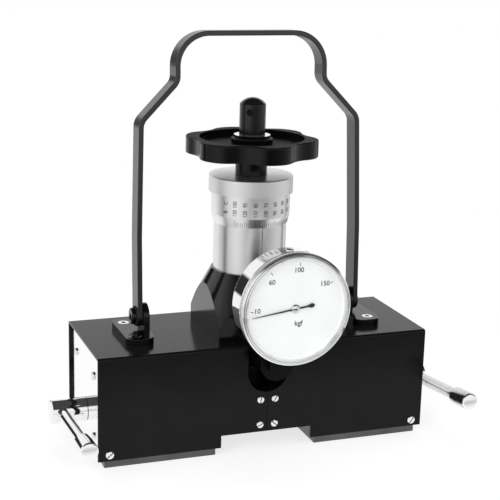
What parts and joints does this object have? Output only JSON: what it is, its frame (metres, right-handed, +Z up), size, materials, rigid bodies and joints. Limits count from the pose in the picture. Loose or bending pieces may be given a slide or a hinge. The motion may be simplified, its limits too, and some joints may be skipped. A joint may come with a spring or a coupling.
{
  "type": "portable rockwell hardness tester",
  "caption": "Portable Rockwell hardness tester on a switchable magnetic base: a handwheel screw lowers the indenter, a dial gauge shows the load and a drum scale the hardness.",
  "frame": {"origin": "the test point: on the surface that the base stands on, under the indenter, on the column axis", "axes": "+Z up along the column axis, +X along the base to the right, -Y to the gauge side"},
  "size_m": [0.31, 0.1507, 0.31],
  "materials": {
    "cover_black": "satin black paint",
    "gloss_black": "gloss black lacquer",
    "handle_black": "satin black paint",
    "wheel_black": "polished black",
    "dark_steel": "blackened and polished",
    "chrome": "polished",
    "nickel": "polished plate",
    "bright_screw": "bright plated",
    "dark_screw": "blackened",
    "pole_steel": "ground",
    "satin_steel": "satin chrome",
    "inner_steel": "turned",
    "magnet": "ground magnet alloy",
    "chassis": "milled",
    "brass": "machined",
    "seal": "moulded",
    "fibre": "fibre",
    "glass": "clear",
    "dial_white": "white enamel",
    "pointer_black": "black paint"
  },
  "bodies": {
    "base": {"left_cover": "cover_black", "right_cover": "cover_black", "corner_screws": "bright_screw", "seam_screws": "bright_screw", "chassis_plate": "chassis", "chassis_screws": "dark_screw", "column_block": "gloss_black", "column_screws": "dark_screw", "sleeve": "satin_steel", "spindle_nut": "brass", "left_front_pole": "pole_steel", "left_rear_pole": "pole_steel", "right_front_pole": "pole_steel", "right_rear_pole": "pole_steel", "brass_separators": "brass", "left_end_plate": "nickel", "right_end_plate": "nickel", "end_plate_screws": "bright_screw", "shaft_bushes": "brass", "left_bracket": "handle_black", "right_bracket": "handle_black", "bracket_screws": "bright_screw", "pivot_bolts": "handle_black", "pivot_washers": "fibre"},
    "load_head": {"load_cell": "inner_steel", "cell_cap": "inner_steel", "load_piston": "inner_steel", "piston_seal": "seal", "indenter_holder": "inner_steel", "indenter": "inner_steel", "holder_screw": "dark_screw", "thrust_ball": "inner_steel", "spindle_keeper": "inner_steel", "gauge_arm": "gloss_black", "gauge_stem": "gloss_black", "gauge_case": "chrome", "case_screw": "bright_screw", "bourdon_tube": "brass", "gauge_movement": "brass"},
    "handwheel": {"spindle": "dark_steel", "handwheel": "wheel_black", "wheel_washer": "chrome", "wheel_pin": "dark_screw", "drum_collar": "inner_steel"},
    "drum": {"drum": "satin_steel"},
    "left_lever": {"left_rotor": "magnet", "left_shaft_hub": "chrome", "left_rod": "chrome", "left_knob": "chrome"},
    "right_lever": {"right_rotor": "magnet", "right_shaft_hub": "chrome", "right_rod": "chrome", "right_knob": "chrome"},
    "handle": {"handle": "handle_black"},
    "bezel": {"bezel": "chrome", "crystal": "glass", "dial_face": "dial_white", "dial_ring": "dial_white"},
    "pointer": {"pointer": "pointer_black", "pointer_staff": "inner_steel"}
  },
  "joints": [
    {"name": "load_slide", "type": "slide", "parent": "base", "child": "load_head", "axis": [0, 0, -1], "range_m": [-0.0025, 0.01]},
    {"name": "handwheel_turn", "type": "hinge", "parent": "load_head", "child": "handwheel", "pos_m": [0, 0, 0.225], "axis": [0, 0, -1], "range_deg": [-1800, 7200]},
    {"name": "drum_zero", "type": "hinge", "parent": "handwheel", "child": "drum", "pos_m": [0, 0, 0.197], "axis": [0, 0, 1], "continuous": true},
    {"name": "left_lever_turn", "type": "hinge", "parent": "base", "child": "left_lever", "pos_m": [-0.128, 0, 0.0292], "axis": [-1, 0, 0], "range_deg": [-3.5, 86.5]},
    {"name": "right_lever_turn", "type": "hinge", "parent": "base", "child": "right_lever", "pos_m": [0.128, 0, 0.0292], "axis": [-1, 0, 0], "range_deg": [-6.2, 83.8]},
    {"name": "handle_swing", "type": "hinge", "parent": "base", "child": "handle", "pos_m": [0, 0, 0.0991], "axis": [1, 0, 0], "range_deg": [-87, 93]},
    {"name": "bezel_turn", "type": "hinge", "parent": "load_head", "child": "bezel", "pos_m": [0, -0.095, 0.1255], "axis": [0, 1, 0], "continuous": true},
    {"name": "pointer_turn", "type": "hinge", "parent": "load_head", "child": "pointer", "pos_m": [0, -0.08, 0.1255], "axis": [0, 1, 0], "range_deg": [0, 162], "stiffness_Nm_per_rad": 0.0005, "springref_deg": -28.65}
  ],
  "couplings": [
    {"joint": "handwheel_turn", "follows": "load_slide", "rad_per_m": 12566}
  ]
}
